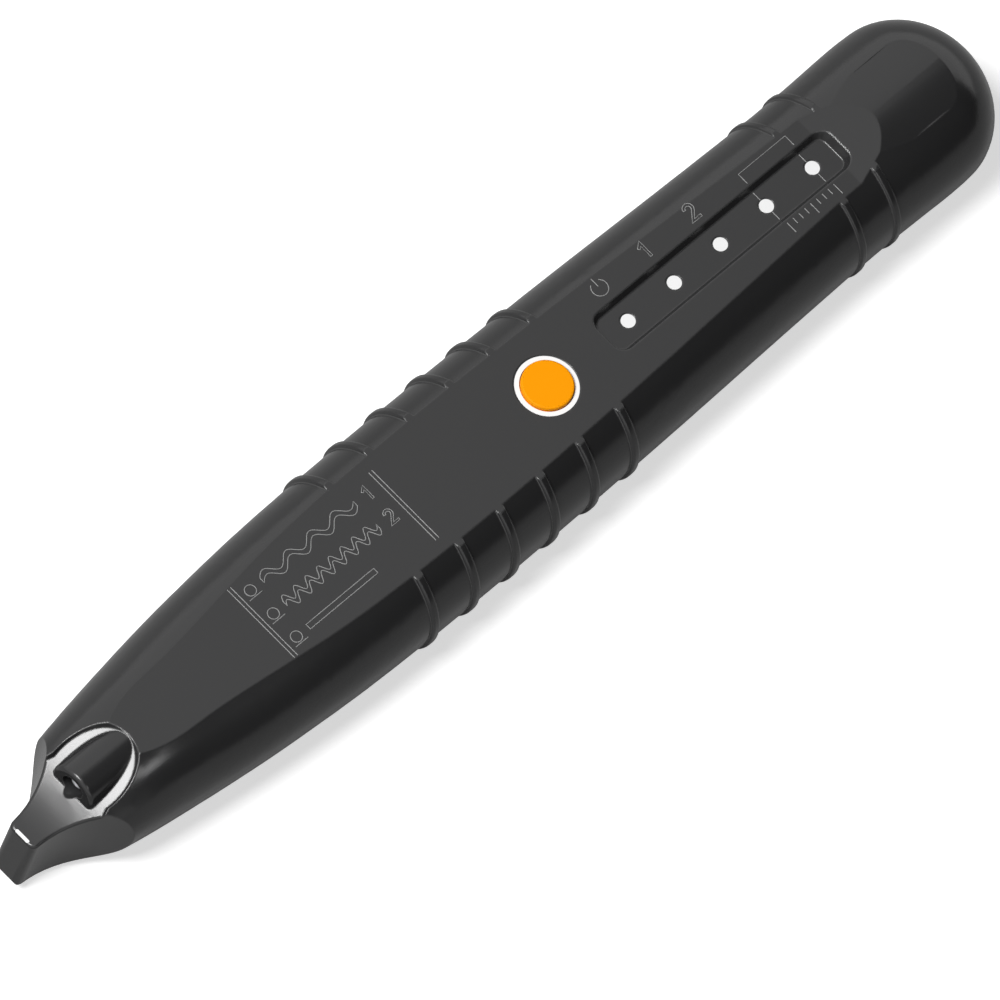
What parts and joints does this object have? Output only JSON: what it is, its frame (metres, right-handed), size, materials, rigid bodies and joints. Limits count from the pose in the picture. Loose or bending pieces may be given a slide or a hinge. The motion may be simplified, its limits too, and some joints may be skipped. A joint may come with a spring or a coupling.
{
  "type": "non contact voltage tester",
  "caption": "Pen-shaped voltage detector with a blade nose, torch LED, round push button, indicator window, grip ribs and a battery cover on its flat back.",
  "frame": {"origin": "centre of the underside, level with the flat back", "axes": "+X from the sensing nose towards the rounded rear end, +Z out of the indicator face, +Y completes the right-handed frame"},
  "size_m": [0.1549, 0.0246, 0.0182],
  "materials": {
    "housing_plastic": "fine moulded texture, charcoal",
    "button_plastic": "satin orange",
    "bezel_plastic": "satin white",
    "lens_plastic": "diffusing white light pipe",
    "led_resin": "clear epoxy",
    "component_black": "moulded black",
    "ceramic": "fired ceramic",
    "board_laminate": "green solder mask",
    "plated_steel": "bright plating",
    "copper_foil": "bare copper",
    "cell_can": "sleeved cell",
    "marking_ink": "white pad print"
  },
  "bodies": {
    "housing": {"upper_housing": "housing_plastic", "lower_housing": "housing_plastic", "button_bezel": "bezel_plastic", "switch_body": "component_black", "circuit_board": "board_laminate", "torch_led": "led_resin", "torch_leads": "plated_steel", "sensor_antenna": "copper_foil", "sensor_lead": "copper_foil", "negative_contact": "plated_steel", "positive_contact": "plated_steel", "buzzer": "component_black", "housing_screws": "plated_steel", "board_screws": "plated_steel", "detector_chip": "component_black", "driver_chip": "component_black", "resistors": "component_black", "capacitors": "ceramic", "battery_cell_front": "cell_can", "battery_cell_rear": "cell_can", "indicator_led_1": "led_resin", "indicator_led_2": "led_resin", "indicator_led_3": "led_resin", "indicator_led_4": "led_resin", "indicator_led_5": "led_resin", "indicator_lens_1": "lens_plastic", "indicator_lens_2": "lens_plastic", "indicator_lens_3": "lens_plastic", "indicator_lens_4": "lens_plastic", "indicator_lens_5": "lens_plastic"},
    "button": {"button_cap": "button_plastic"},
    "plunger": {"switch_plunger": "component_black"},
    "cover": {"battery_cover": "housing_plastic", "cover_screws": "plated_steel"}
  },
  "joints": [
    {"name": "button_press", "type": "slide", "parent": "housing", "child": "button", "axis": [0, 0, -1], "range_m": [0, 0.0004], "stiffness_N_per_m": 1000, "springref_m": -0.0003},
    {"name": "plunger_travel", "type": "slide", "parent": "housing", "child": "plunger", "axis": [0, 0, -1], "range_m": [0, 0.0004]},
    {"name": "cover_lift", "type": "slide", "parent": "housing", "child": "cover", "axis": [0, 0, -1], "range_m": [0, 0.015]}
  ],
  "couplings": [
    {"joint": "plunger_travel", "follows": "button_press", "ratio": 1}
  ]
}
